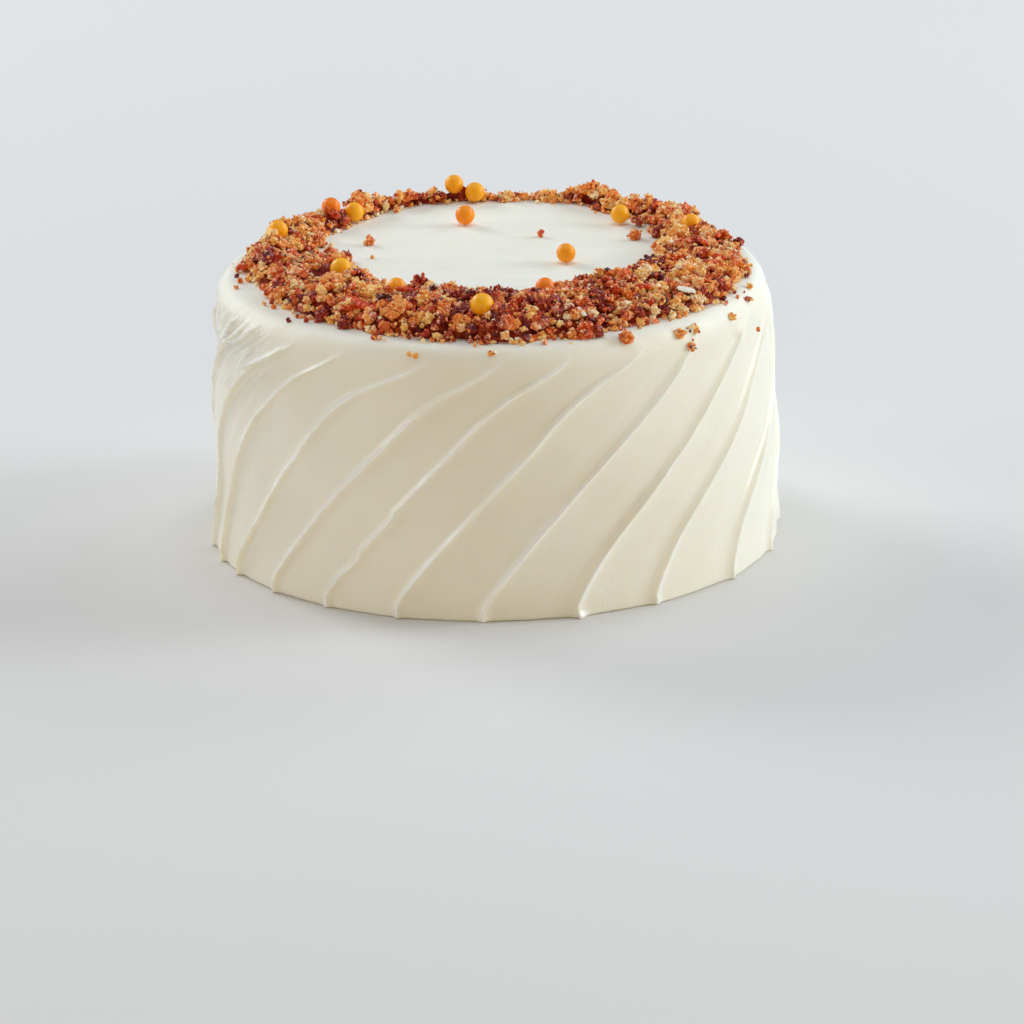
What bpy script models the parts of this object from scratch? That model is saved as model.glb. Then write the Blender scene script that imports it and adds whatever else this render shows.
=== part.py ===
"""Frosted carrot cake: a round iced cake with a swirled side, a ring of crumbs and sugar pearls on its top.

Sizes are in millimetres and become metres as the meshes are made. The cake stands on z = 0, its axis is the
z axis and its front faces -Y. Angles round the cake are in degrees from the front, positive towards +X.
"""

import math

import bmesh
import bpy
from mathutils import Vector, noise

MM = 0.001

# Iced body
CAKE_HEIGHT = 106.5
FOOT_RADIUS = 109.8
WALL_TAPER = 2.4
WALL_LEAN = 1.1
LEAN_FROM = 46.0
LEAN_TO = 97.0
SHOULDER_ROUND = 8.0
FOOT_BEVEL = 1.0
SHOULDER_STEPS = 5
WALL_STEPS = 12
TOP_RINGS = (72.0, 36.0)
CREASE_ANGLE = 40.0

# Swirls that a palette knife leaves, each a long flute that ends in a lip: where each lip stands at the foot
FRONT_LIPS = (-100.0, -86.0, -68.0, -51.5, -37.0, -21.0, -3.0, 16.0, 33.0, 54.5)
BACK_LIPS = (74.0, 93.0, 111.5, 131.0, 149.5, 169.0, 187.0, 206.5, 225.0, 245.0)
LIP_HEIGHT = 1.9
LIP_UNEVENNESS = 0.5
LIP_UNEVEN_STEP = 2.4
# A flute's section: shares of the way from one lip to the next, and the height there as a share of the lip's
FLUTE_SHARES = (0.0, 0.16, 0.42, 0.74, 0.94)
FLUTE_HEIGHTS = (1.0, 0.45, 0.04, 0.0, 0.25)
FLUTE_MIDDLE = 0.5
SWEEP_ANGLE = 54.0
SWEEP_START = 4.0
SWEEP_POWER = 1.25
LIP_FADE_FROM = 87.0
LIP_FADE_TO = 101.0
# How far each lip strays to the right of that lean: at its foot, in its lower middle, high up and at its end
FRONT_BENDS = (
    (30.0, 8.0, 0.0, 8.0),
    (24.0, 0.0, -1.0, 5.0),
    (6.5, 3.5, -5.0, 8.0),
    (1.5, 2.0, -2.5, 5.0),
    (1.0, 3.0, -3.5, 5.0),
    (1.5, 1.0, -4.0, 6.0),
    (0.0, 1.0, 1.5, -1.0),
    (0.0, -2.5, -1.0, 0.0),
    (0.5, -3.0, -2.5, 0.0),
    (1.0, -5.0, -5.0, 1.0),
)
BACK_BENDS = (
    (0.0, -3.0, -2.0, 2.0),
    (1.0, 2.0, -2.0, 3.0),
    (0.0, -2.0, 1.5, 3.0),
    (2.0, 1.5, -2.5, 4.0),
    (0.5, 2.5, 0.0, 2.0),
    (1.5, -1.5, -3.0, 4.0),
    (0.0, 2.0, -1.5, 3.0),
    (2.5, 1.0, -2.0, 5.0),
    (5.0, -1.0, 1.0, 3.0),
    (14.0, 2.0, -2.0, 4.0),
)
FOOT_BEND_TO = 72.0
MIDDLE_BEND_AT, MIDDLE_BEND_REACH = 28.0, 20.0
HIGH_BEND_AT, HIGH_BEND_REACH = 80.0, 14.0
END_BEND_FROM, END_BEND_TO = 86.0, 100.0

# Ring of crumbs: its edges are a mean radius, a shift to the front and a squash or a shift sideways
INNER_MEAN, INNER_SHIFT, INNER_SQUASH = 67.5, -25.0, 5.5
OUTER_MEAN, OUTER_SHIFT, OUTER_SIDEWAYS = 98.0, -4.0, 2.5
# Bays and lobes of the inner edge: angle, half width, reach towards the rim
INNER_LOBES = ((-98.0, 9.0, 7.0), (-74.0, 12.0, -7.0), (-48.0, 10.0, 9.0), (-16.0, 8.0, -5.0), (16.0, 8.0, 4.0), (48.0, 14.0, -3.0), (80.0, 7.0, -3.0))
OUTER_LOBES = ((105.0, 22.0, -7.0), (-72.0, 12.0, -5.0), (5.0, 12.0, 4.0))
EDGE_RAGGEDNESS = 2.2
RAGGED_WAVES = 9.0
INNER_SEED, OUTER_SEED, LUMP_SEED = 3.1, 8.4, 5.7
PILE_HEIGHT = 7.8
PILE_FRONT_EXTRA = 1.9
PILE_SQUARENESS = 2.6
PILE_STEEPNESS = 0.55
EDGE_HEIGHT = 1.6
LUMP_HEIGHT = 2.3
LUMP_SIZE = 8.0
# Where the ring is nearly parted: angle, half width, share of the height that is missing
RING_GAP = (173.0, 9.0, 0.62)
CRUMB_COLUMNS = 100
CRUMB_SHARES = (0.0, 0.07, 0.2, 0.38, 0.58, 0.76, 0.92, 1.0)
UNDER_SHARES = (1.0, 0.93, 0.85, 0.7, 0.48, 0.0)

# Sugar pearls: x, y, height of the centre above the icing, diameter
PEARLS = (
    (-83.2, 28.3, 9.5, 7.7),
    (-63.1, 66.8, 7.5, 7.5),
    (-54.1, 70.4, 4.2, 7.8),
    (-57.9, -24.7, 9.0, 8.2),
    (-36.3, -50.1, 8.5, 7.5),
    (-14.4, 98.7, 7.0, 7.5),
    (-6.1, 96.1, 4.2, 7.8),
    (-10.1, 63.2, 4.15, 7.7),
    (-3.9, -83.7, 11.0, 8.8),
    (20.2, -50.4, 7.5, 7.5),
    (29.0, 7.2, 4.1, 7.6),
    (51.1, 60.9, 4.0, 7.4),
    (78.4, 32.3, 8.0, 7.4),
)
PEARL_SIDES = 12
PEARL_RINGS = 8

# Free space round a pearl in the crumbs, and under the crumbs where flat facets cross the rounded shoulder
GAP = 0.3
UNDER_GAP = 0.5


def clear_scene():
    for thing in list(bpy.data.objects):
        bpy.data.objects.remove(thing, do_unlink=True)


def make_material(name, colour, roughness):
    material = bpy.data.materials.new(name)
    material.use_nodes = True
    shader = material.node_tree.nodes["Principled BSDF"]
    shader.inputs["Base Color"].default_value = (*colour, 1.0)
    shader.inputs["Roughness"].default_value = roughness
    shader.inputs["Metallic"].default_value = 0.0
    return material


def make_object(name, points, faces, material):
    mesh = bpy.data.meshes.new(name)
    mesh.from_pydata(points, [], faces)
    mesh.materials.append(material)
    thing = bpy.data.objects.new(name, mesh)
    bpy.context.scene.collection.objects.link(thing)
    return thing


def smoothstep(start, end, value):
    share = min(max((value - start) / (end - start), 0.0), 1.0)
    return share * share * (3 - 2 * share)


def hump(angle, centre, half_width):
    """1 at the centre angle, a half at the half width and 0 from twice that on."""
    away = abs((angle - centre + 180) % 360 - 180)
    return 1 - smoothstep(0, 2 * half_width, away)


def plan(angle, radius):
    """x and y in millimetres of a point at this angle and this far from the axis."""
    turn = math.radians(angle)
    return radius * math.sin(turn), -radius * math.cos(turn)


def point_at(angle, radius, height):
    x, y = plan(angle, radius)
    return x * MM, y * MM, height * MM


# Iced body


def wall_radius(height):
    """Radius of the side between its lips: a slight taper, and a lean inwards below the shoulder."""
    return FOOT_RADIUS - WALL_TAPER * height / CAKE_HEIGHT - WALL_LEAN * smoothstep(LEAN_FROM, LEAN_TO, height)


def icing_height(radius):
    """Height of the icing's top at this distance from the axis, with the rounded shoulder."""
    shoulder_foot = CAKE_HEIGHT - SHOULDER_ROUND
    beyond = max(radius - wall_radius(shoulder_foot) + SHOULDER_ROUND, 0.0)
    return shoulder_foot + math.sqrt(SHOULDER_ROUND**2 - beyond**2)


def sweep(height):
    """Degrees that a lip has leaned round the cake by this height."""
    share = (min(height, LIP_FADE_TO) - SWEEP_START) / (CAKE_HEIGHT - SWEEP_START)
    return SWEEP_ANGLE * max(share, 0.0) ** SWEEP_POWER


def bend(index, height):
    """Degrees that a lip has strayed from the shared lean at this height."""
    foot, middle, high, end = (FRONT_BENDS + BACK_BENDS)[index]
    stray = foot * (1 - smoothstep(0.0, FOOT_BEND_TO, height))
    stray += middle * math.exp(-(((height - MIDDLE_BEND_AT) / MIDDLE_BEND_REACH) ** 2))
    stray += high * math.exp(-(((height - HIGH_BEND_AT) / HIGH_BEND_REACH) ** 2))
    stray += end * smoothstep(END_BEND_FROM, END_BEND_TO, height)
    return math.degrees(stray / FOOT_RADIUS)


def lip_height(index):
    return LIP_HEIGHT + LIP_UNEVENNESS * math.sin(LIP_UNEVEN_STEP * index)


def flute_columns(height):
    """The angle of each column of points round the side at this height, and the icing added there."""
    lips = FRONT_LIPS + BACK_LIPS
    columns = []
    for index, start in enumerate(lips):
        following = (index + 1) % len(lips)
        width = (lips[following] - start) % 360
        here, there = bend(index, height), bend(following, height)
        for share, part in zip(FLUTE_SHARES, FLUTE_HEIGHTS):
            nearer = index if share < FLUTE_MIDDLE else following
            angle = start + share * width + here + share * (there - here) + sweep(height)
            columns.append((angle, part * lip_height(nearer)))
    return columns


def side_rows():
    """Height, radius between the lips, and strength of the lips, from the foot's bevel in to the top."""
    rows = [(0.0, FOOT_RADIUS - FOOT_BEVEL)]
    wall_top = CAKE_HEIGHT - SHOULDER_ROUND
    for step in range(WALL_STEPS + 1):
        height = FOOT_BEVEL + (wall_top - FOOT_BEVEL) * step / WALL_STEPS
        rows.append((height, wall_radius(height)))
    centre = wall_radius(wall_top) - SHOULDER_ROUND
    for step in range(1, SHOULDER_STEPS + 1):
        turn = math.radians(90 * step / SHOULDER_STEPS)
        rows.append((wall_top + SHOULDER_ROUND * math.sin(turn), centre + SHOULDER_ROUND * math.cos(turn)))
    rows += [(CAKE_HEIGHT, radius) for radius in TOP_RINGS]
    return [(height, radius, 1 - smoothstep(LIP_FADE_FROM, LIP_FADE_TO, height)) for height, radius in rows]


def iced_body():
    around = len(FLUTE_SHARES) * len(FRONT_LIPS + BACK_LIPS)
    points = []
    for height, radius, strength in side_rows():
        points += [point_at(angle, radius + lip * strength, height) for angle, lip in flute_columns(height)]
    bottom = len(points)
    top = bottom + 1
    points += [point_at(0.0, 0.0, 0.0), point_at(0.0, 0.0, CAKE_HEIGHT)]
    faces = []
    for column in range(around):
        after = (column + 1) % around
        faces.append((bottom, after, column))
        for low in range(0, bottom - around, around):
            high = low + around
            faces.append((low + column, low + after, high + after))
            faces.append((low + column, high + after, high + column))
        faces.append((top, bottom - around + column, bottom - around + after))
    return points, faces


# Ring of crumbs


def ragged(angle, seed):
    """An uneven value of about -1 to 1 that closes on itself round the ring."""
    x, y = plan(angle, RAGGED_WAVES)
    return 2 * noise.noise(Vector((x, y, seed)))


def inner_radius(angle):
    turn = math.radians(angle)
    radius = INNER_MEAN + INNER_SHIFT * math.cos(turn) + INNER_SQUASH * math.cos(2 * turn)
    radius += sum(reach * hump(angle, centre, width) for centre, width, reach in INNER_LOBES)
    return radius + EDGE_RAGGEDNESS * ragged(angle, INNER_SEED)


def outer_radius(angle):
    turn = math.radians(angle)
    radius = OUTER_MEAN + OUTER_SHIFT * math.cos(turn) + OUTER_SIDEWAYS * math.sin(turn)
    radius += sum(reach * hump(angle, centre, width) for centre, width, reach in OUTER_LOBES)
    return radius + EDGE_RAGGEDNESS * ragged(angle, OUTER_SEED)


def pile_height(angle, share, radius):
    """Height of the crumbs above the icing, this share of the way from the inner to the outer edge."""
    centre, half_width, missing = RING_GAP
    tallest = PILE_HEIGHT + PILE_FRONT_EXTRA * math.cos(math.radians(angle))
    tallest *= 1 - missing * hump(angle, centre, half_width)
    x, y = plan(angle, radius)
    tallest += LUMP_HEIGHT * 2 * noise.noise(Vector((x / LUMP_SIZE, y / LUMP_SIZE, LUMP_SEED)))
    arch = (1 - abs(2 * share - 1) ** PILE_SQUARENESS) ** PILE_STEEPNESS
    return EDGE_HEIGHT + (tallest - EDGE_HEIGHT) * arch


def crumb_section(angle):
    """The closed outline of the pile across the ring: over the top and back along the icing."""
    inner, outer = inner_radius(angle), outer_radius(angle)
    section = []
    for share in CRUMB_SHARES:
        radius = inner + share * (outer - inner)
        section.append((radius, icing_height(radius) + UNDER_GAP + pile_height(angle, share, radius)))
    for share in UNDER_SHARES:
        radius = inner + share * (outer - inner)
        section.append((radius, icing_height(radius) + UNDER_GAP))
    return section


def crumb_ring():
    points = []
    for column in range(CRUMB_COLUMNS):
        angle = 360 * column / CRUMB_COLUMNS
        points += [point_at(angle, radius, height) for radius, height in crumb_section(angle)]
    around = len(CRUMB_SHARES) + len(UNDER_SHARES)
    faces = []
    for here in range(0, len(points), around):
        there = (here + around) % len(points)
        for place in range(around):
            after = (place + 1) % around
            faces.append((here + place, there + after, here + after))
            faces.append((here + place, there + place, there + after))
    return points, faces


def cut_bed(ring, x, y, lift, diameter):
    """Takes a pearl's bed out of the crumbs, one gap wider than the pearl all round."""
    bed = pearl_ball("bed", x, y, lift, diameter / 2 + GAP)
    cut = ring.modifiers.new("bed", "BOOLEAN")
    cut.operation = "DIFFERENCE"
    cut.solver = "EXACT"
    cut.object = bed
    bpy.context.view_layer.objects.active = ring
    bpy.ops.object.modifier_apply(modifier=cut.name)
    bpy.data.objects.remove(bed, do_unlink=True)


# Sugar pearls


def pearl_ball(name, x, y, lift, radius):
    mesh = bpy.data.meshes.new(name)
    work = bmesh.new()
    bmesh.ops.create_uvsphere(work, u_segments=PEARL_SIDES, v_segments=PEARL_RINGS, radius=radius * MM)
    height = icing_height(math.hypot(x, y)) + lift
    bmesh.ops.translate(work, verts=work.verts, vec=Vector((x, y, height)) * MM)
    work.to_mesh(mesh)
    work.free()
    ball = bpy.data.objects.new(name, mesh)
    bpy.context.scene.collection.objects.link(ball)
    return ball


def main():
    clear_scene()
    icing = make_material("cream_icing", (0.78, 0.74, 0.63), 0.45)
    crumb = make_material("cake_crumb", (0.45, 0.17, 0.05), 0.7)
    sugar = make_material("sugar_pearl", (0.86, 0.42, 0.06), 0.35)
    body = make_object("frosted_cake", *iced_body(), icing)
    body.data.shade_smooth()
    body.data.set_sharp_from_angle(angle=math.radians(CREASE_ANGLE))
    ring = make_object("crumb_ring", *crumb_ring(), crumb)
    for number, (x, y, lift, diameter) in enumerate(PEARLS, 1):
        cut_bed(ring, x, y, lift, diameter)
        ball = pearl_ball(f"pearl_{number:02d}", x, y, lift, diameter / 2)
        ball.data.materials.append(sugar)
        ball.data.shade_smooth()


main()
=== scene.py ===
"""Looks of the frosted carrot cake: icing with palette-knife swirls, a ring of cake crumbs, sugar pearls.

Sizes below are in millimetres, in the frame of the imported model: z is up, the front faces -Y, and angles round
the cake are in degrees from the front, positive towards +X. Meshes are made in metres.
"""
import math

import bmesh
import bpy
import numpy as np
from mathutils import Euler, Matrix, Vector, noise


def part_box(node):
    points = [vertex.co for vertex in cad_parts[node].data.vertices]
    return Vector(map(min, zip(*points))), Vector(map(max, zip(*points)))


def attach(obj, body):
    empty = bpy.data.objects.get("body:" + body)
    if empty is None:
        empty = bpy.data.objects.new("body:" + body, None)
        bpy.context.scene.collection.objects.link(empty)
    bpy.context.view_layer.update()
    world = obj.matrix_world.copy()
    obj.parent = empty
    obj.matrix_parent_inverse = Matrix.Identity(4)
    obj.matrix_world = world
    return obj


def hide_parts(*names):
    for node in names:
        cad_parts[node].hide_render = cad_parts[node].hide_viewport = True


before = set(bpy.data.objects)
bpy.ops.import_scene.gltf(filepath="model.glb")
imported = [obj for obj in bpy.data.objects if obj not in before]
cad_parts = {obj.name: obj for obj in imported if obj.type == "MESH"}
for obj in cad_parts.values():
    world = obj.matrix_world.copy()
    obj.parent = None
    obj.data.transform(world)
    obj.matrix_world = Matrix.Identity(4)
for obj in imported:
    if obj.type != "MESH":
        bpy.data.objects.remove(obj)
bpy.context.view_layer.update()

MM = 0.001

# Iced body, as in the CAD
CAKE_HEIGHT = 106.5
FOOT_RADIUS = 109.8
WALL_TAPER = 2.4
LIPS = (
    -100.0, -86.0, -68.0, -51.5, -37.0, -21.0, -3.0, 16.0, 33.0, 54.5,
    74.0, 93.0, 111.5, 131.0, 149.5, 169.0, 187.0, 206.5, 225.0, 245.0,
)
SWEEP_ANGLE = 54.0
SWEEP_START = 4.0
SWEEP_POWER = 1.25
LIP_FADE_FROM = 87.0
LIP_FADE_TO = 101.0
# How far each lip strays to the right of that lean: at its foot, in its lower middle, high up and at its end
LIP_BENDS = (
    (30.0, 8.0, 0.0, 8.0),
    (24.0, 0.0, -1.0, 5.0),
    (6.5, 3.5, -5.0, 8.0),
    (1.5, 2.0, -2.5, 5.0),
    (1.0, 3.0, -3.5, 5.0),
    (1.5, 1.0, -4.0, 6.0),
    (0.0, 1.0, 1.5, -1.0),
    (0.0, -2.5, -1.0, 0.0),
    (0.5, -3.0, -2.5, 0.0),
    (1.0, -5.0, -5.0, 1.0),
    (0.0, -3.0, -2.0, 2.0),
    (1.0, 2.0, -2.0, 3.0),
    (0.0, -2.0, 1.5, 3.0),
    (2.0, 1.5, -2.5, 4.0),
    (0.5, 2.5, 0.0, 2.0),
    (1.5, -1.5, -3.0, 4.0),
    (0.0, 2.0, -1.5, 3.0),
    (2.5, 1.0, -2.0, 5.0),
    (5.0, -1.0, 1.0, 3.0),
    (14.0, 2.0, -2.0, 4.0),
)
FOOT_BEND_TO = 72.0
MIDDLE_BEND_AT, MIDDLE_BEND_REACH = 28.0, 20.0
HIGH_BEND_AT, HIGH_BEND_REACH = 80.0, 14.0
END_BEND_FROM, END_BEND_TO = 86.0, 100.0

# Ring of crumbs, as in the CAD
INNER_MEAN, INNER_SHIFT, INNER_SQUASH = 67.5, -25.0, 5.5
OUTER_MEAN, OUTER_SHIFT, OUTER_SIDEWAYS = 98.0, -4.0, 2.5
INNER_LOBES = ((-98.0, 9.0, 7.0), (-74.0, 12.0, -7.0), (-48.0, 10.0, 9.0), (-16.0, 8.0, -5.0), (16.0, 8.0, 4.0), (48.0, 14.0, -3.0), (80.0, 7.0, -3.0))
OUTER_LOBES = ((105.0, 22.0, -7.0), (-72.0, 12.0, -5.0), (5.0, 12.0, 4.0))
EDGE_RAGGEDNESS = 2.2
RAGGED_WAVES = 9.0
INNER_SEED, OUTER_SEED, LUMP_SEED = 3.1, 8.4, 5.7
PILE_HEIGHT = 7.8
PILE_FRONT_EXTRA = 1.9
PILE_SQUARENESS = 2.6
PILE_STEEPNESS = 0.55
EDGE_HEIGHT = 1.6
LUMP_HEIGHT = 2.3
LUMP_SIZE = 8.0
RING_GAP = (173.0, 9.0, 0.62)

PEARL_COUNT = 13


# ---------------------------------------------------------------- helpers


def smoothstep(start, end, value):
    share = np.clip((value - start) / (end - start), 0.0, 1.0)
    return share * share * (3 - 2 * share)


def hashed(ix, iy, iz, seed):
    """An even value from -1 to 1 for each lattice point."""
    h = (ix * 374761393 + iy * 668265263 + iz * 2246822519 + seed * 3266489917) & 0xFFFFFFFF
    h = ((h ^ (h >> 15)) * 2246822519) & 0xFFFFFFFF
    h = ((h ^ (h >> 13)) * 3266489917) & 0xFFFFFFFF
    h = h ^ (h >> 16)
    return h.astype(np.float64) / 0x7FFFFFFF - 1.0


def wavy(x, y, z=0.0, seed=0):
    """Smooth noise from about -1 to 1, with waves one unit long."""
    x, y, z = np.broadcast_arrays(np.asarray(x, float), np.asarray(y, float), np.asarray(z, float))
    cells = [np.floor(v).astype(np.int64) for v in (x, y, z)]
    parts = [v - c for v, c in zip((x, y, z), cells)]
    ease = [p * p * p * (p * (p * 6 - 15) + 10) for p in parts]
    total = np.zeros(x.shape)
    for dx in (0, 1):
        for dy in (0, 1):
            for dz in (0, 1):
                weight = 1.0
                for step, e in zip((dx, dy, dz), ease):
                    weight = weight * (e if step else 1 - e)
                total += weight * hashed(cells[0] + dx, cells[1] + dy, cells[2] + dz, seed)
    return total


def rough(x, y, z=0.0, seed=0, octaves=3):
    """Several layers of smooth noise, each half as long and half as strong as the one before."""
    total, strength, scale = 0.0, 1.0, 1.0
    for octave in range(octaves):
        total = total + strength * wavy(x * scale, y * scale, z * scale, seed + 17 * octave)
        strength *= 0.5
        scale *= 2.03
    return total / (2 - 2 ** (1 - octaves))


def round_trip(angle, radius):
    """x and y in millimetres at this angle and this far from the axis."""
    turn = np.radians(angle)
    return radius * np.sin(turn), -radius * np.cos(turn)


def between(angle, centre):
    """Degrees from the centre angle, from -180 to 180."""
    return (angle - centre + 180) % 360 - 180


def mesh_piece(name, points, triangles, material, slot, smooth=True, **attributes):
    """An object from arrays of points in millimetres and of triangles, riding on the cake."""
    mesh = bpy.data.meshes.new(name)
    mesh.vertices.add(len(points))
    mesh.vertices.foreach_set("co", np.ascontiguousarray(points * MM, dtype=np.float32).ravel())
    mesh.loops.add(triangles.size)
    mesh.loops.foreach_set("vertex_index", np.ascontiguousarray(triangles, dtype=np.int32).ravel())
    mesh.polygons.add(len(triangles))
    mesh.polygons.foreach_set("loop_start", np.arange(0, triangles.size, 3, dtype=np.int32))
    mesh.polygons.foreach_set("use_smooth", np.broadcast_to(np.asarray(smooth, dtype=bool), len(triangles)).copy())
    mesh.update(calc_edges=True)
    for label, values in attributes.items():
        flat_values = np.ascontiguousarray(values, dtype=np.float32)
        if flat_values.ndim == 2:
            mesh.attributes.new(label, "FLOAT_VECTOR", "POINT").data.foreach_set("vector", flat_values.ravel())
        else:
            mesh.attributes.new(label, "FLOAT", "POINT").data.foreach_set("value", flat_values)
    mesh.materials.append(material)
    thing = bpy.data.objects.new(name, mesh)
    bpy.context.scene.collection.objects.link(thing)
    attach(thing, "root")
    return thing


# ---------------------------------------------------------------- materials


class Nodes:
    """A short way to write a material's nodes."""

    def __init__(self, name):
        self.material = bpy.data.materials.new(name)
        self.material.use_nodes = True
        self.tree = self.material.node_tree
        self.shader = self.tree.nodes["Principled BSDF"]

    def add(self, kind, links=None, **settings):
        node = self.tree.nodes.new(kind)
        for key, value in settings.items():
            if key in node.inputs:
                node.inputs[key].default_value = value
            else:
                setattr(node, key, value)
        for key, source in (links or {}).items():
            self.tree.links.new(source, node.inputs[key])
        return node

    def set(self, **values):
        for key, value in values.items():
            self.shader.inputs[key.replace("_", " ")].default_value = value

    def link(self, source, socket):
        self.tree.links.new(source, self.shader.inputs[socket])

    def ramp(self, source, stops):
        node = self.add("ShaderNodeValToRGB", {"Fac": source})
        node.color_ramp.elements.remove(node.color_ramp.elements[1])
        for number, (place, colour) in enumerate(stops):
            stop = node.color_ramp.elements[0] if number == 0 else node.color_ramp.elements.new(place)
            stop.position = place
            stop.color = (*colour, 1.0)
        return node.outputs["Color"]

    def noise(self, vector, scale, detail=2.0, roughness=0.5, distortion=0.0):
        node = self.add("ShaderNodeTexNoise", {"Vector": vector})
        for key, value in (("Scale", scale), ("Detail", detail), ("Roughness", roughness), ("Distortion", distortion)):
            node.inputs[key].default_value = value
        return node.outputs["Fac"]

    def place(self):
        return self.add("ShaderNodeTexCoord").outputs["Object"]

    def stretched(self, vector, scale):
        node = self.add("ShaderNodeMapping", {"Vector": vector})
        node.inputs["Scale"].default_value = scale
        return node.outputs["Vector"]

    def bump(self, height, strength, distance, below=None):
        links = {"Height": height}
        if below is not None:
            links["Normal"] = below
        node = self.add("ShaderNodeBump", links)
        node.inputs["Strength"].default_value = strength
        node.inputs["Distance"].default_value = distance
        return node.outputs["Normal"]

    def math(self, operation, first, second):
        node = self.add("ShaderNodeMath", operation=operation)
        for number, value in enumerate((first, second)):
            if isinstance(value, (int, float)):
                node.inputs[number].default_value = value
            else:
                self.tree.links.new(value, node.inputs[number])
        return node.outputs["Value"]


def icing_material():
    nodes = Nodes("cream_icing_finish")
    place = nodes.place()
    cloud = nodes.noise(place, 26.0, 3.0, 0.55)
    crest_gloss_and_painted_highlight = nodes.add("ShaderNodeAttribute", attribute_name="crest_gloss_and_painted_highlight").outputs["Fac"]
    # Painted highlight: the crest mask whitens the base colour towards the ramp's near-white top stop; the same mask
    # also makes the crests glossier
    shade = nodes.math("ADD", cloud, nodes.math("MULTIPLY", crest_gloss_and_painted_highlight, 0.65))
    colour = nodes.ramp(shade, ((0.3, (0.885, 0.835, 0.690)), (0.7, (0.925, 0.885, 0.755)), (1.0, (0.985, 0.97, 0.90))))
    nodes.link(colour, "Base Color")
    matt = nodes.add("ShaderNodeAttribute", attribute_name="matt").outputs["Fac"]
    swirl = nodes.add("ShaderNodeAttribute", attribute_name="swirl").outputs["Vector"]
    on_top = nodes.noise(nodes.stretched(place, (60.0, 300.0, 420.0)), 1.0, 3.0, 0.6)
    on_side = nodes.noise(nodes.stretched(swirl, (360.0, 360.0, 30.0)), 1.0, 3.0, 0.6)
    streaks = nodes.math("ADD", on_side, nodes.math("MULTIPLY", nodes.math("SUBTRACT", on_top, on_side), matt))
    grain = nodes.noise(place, 900.0, 2.0, 0.5)
    soft = nodes.bump(streaks, 0.35, 0.0006)
    # Scraped icing: fine slanting scratches where the mesh is torn
    torn = nodes.add("ShaderNodeAttribute", attribute_name="torn").outputs["Fac"]
    scratch = nodes.noise(nodes.stretched(swirl, (330.0, 330.0, 60.0)), 1.0, 4.0, 0.66, 0.8)
    scraped = nodes.bump(nodes.math("MULTIPLY", scratch, torn), 0.75, 0.0018, soft)
    nodes.link(nodes.bump(grain, 0.12, 0.0002, scraped), "Normal")
    uneven = nodes.math("MULTIPLY", nodes.noise(place, 55.0, 2.0, 0.5), 0.22)
    dull = nodes.math("MULTIPLY", nodes.math("SUBTRACT", matt, crest_gloss_and_painted_highlight), 0.22)
    nodes.link(nodes.math("ADD", dull, nodes.math("ADD", uneven, 0.24)), "Roughness")
    nodes.set(Subsurface_Weight=0.35, Subsurface_Radius=(1.0, 0.72, 0.42), Subsurface_Scale=0.0035)
    nodes.set(Specular_IOR_Level=0.5, IOR=1.45)
    return nodes.material


def crumb_material(name, stops, roughness=(0.36, 0.66), gloss=0.25, subsurface=0.0):
    """Colour from each crumb's own tint, browned unevenly within the crumb; specks where the mottle reaches the crumb
    ramps' pale top stops are partly sugar and partly painted highlight standing in for glints.
    """
    nodes = Nodes(name)
    tint = nodes.add("ShaderNodeAttribute", attribute_name="tint").outputs["Fac"]
    place = nodes.place()
    mottle = nodes.noise(place, 900.0, 3.0, 0.65)
    mixed = nodes.math("ADD", tint, nodes.math("MULTIPLY", nodes.math("SUBTRACT", mottle, 0.5), 1.7))
    nodes.link(nodes.ramp(mixed, stops), "Base Color")
    sugar = nodes.ramp(nodes.noise(place, 1100.0, 1.0, 0.5), ((0.4, (roughness[1],) * 3), (0.62, (roughness[0],) * 3)))
    nodes.link(sugar, "Roughness")
    nodes.link(nodes.bump(nodes.noise(place, 1300.0, 2.0, 0.6), 0.8, 0.0005), "Normal")
    nodes.set(Subsurface_Weight=subsurface, Subsurface_Radius=(1.0, 0.45, 0.15), Subsurface_Scale=0.0012)
    nodes.set(Specular_IOR_Level=gloss)
    return nodes.material


def pearl_material():
    nodes = Nodes("sugar_pearl_finish")
    tint = nodes.add("ShaderNodeAttribute", attribute_name="tint").outputs["Fac"]
    place = nodes.place()
    mottle = nodes.noise(place, 260.0, 3.0, 0.55)
    mixed = nodes.math("ADD", tint, nodes.math("MULTIPLY", nodes.math("SUBTRACT", mottle, 0.5), 0.5))
    nodes.link(nodes.ramp(mixed, ((0.0, (0.96, 0.20, 0.001)), (0.5, (1.0, 0.40, 0.003)), (1.0, (1.0, 0.56, 0.012)))), "Base Color")
    nodes.link(nodes.ramp(nodes.noise(place, 420.0, 2.0, 0.5), ((0.3, (0.32,) * 3), (0.7, (0.46,) * 3))), "Roughness")
    nodes.link(nodes.bump(nodes.noise(place, 700.0, 2.0, 0.5), 0.2, 0.0003), "Normal")
    nodes.set(Subsurface_Weight=0.04, Subsurface_Radius=(1.0, 0.5, 0.12), Subsurface_Scale=0.0012)
    nodes.set(Specular_IOR_Level=0.32)
    return nodes.material


def floor_material():
    nodes = Nodes("floor_finish")
    place = nodes.place()
    nodes.link(nodes.ramp(nodes.noise(place, 0.8, 2.0, 0.5), ((0.3, (0.725, 0.695, 0.655)), (0.7, (0.755, 0.725, 0.685)))), "Base Color")
    nodes.set(Roughness=0.9, Specular_IOR_Level=0.1)
    return nodes.material


# ---------------------------------------------------------------- icing

# Distances from a lip's crest at which the mesh has a column, to its right and to its left
RIGHT_STEPS = (0.0, 0.35, 0.75, 1.25, 1.9, 2.7, 3.7, 4.9, 6.3)
LEFT_STEPS = (0.35, 0.75, 1.2, 1.7, 2.3, 3.0, 3.9, 5.0, 6.3)
FLUTE_STEP, FINE_FLUTE_STEP = 2.3, 0.95
FINE_FLUTES = (0, 16, 17, 18, 19)
ROW_STEP = 0.88
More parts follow.
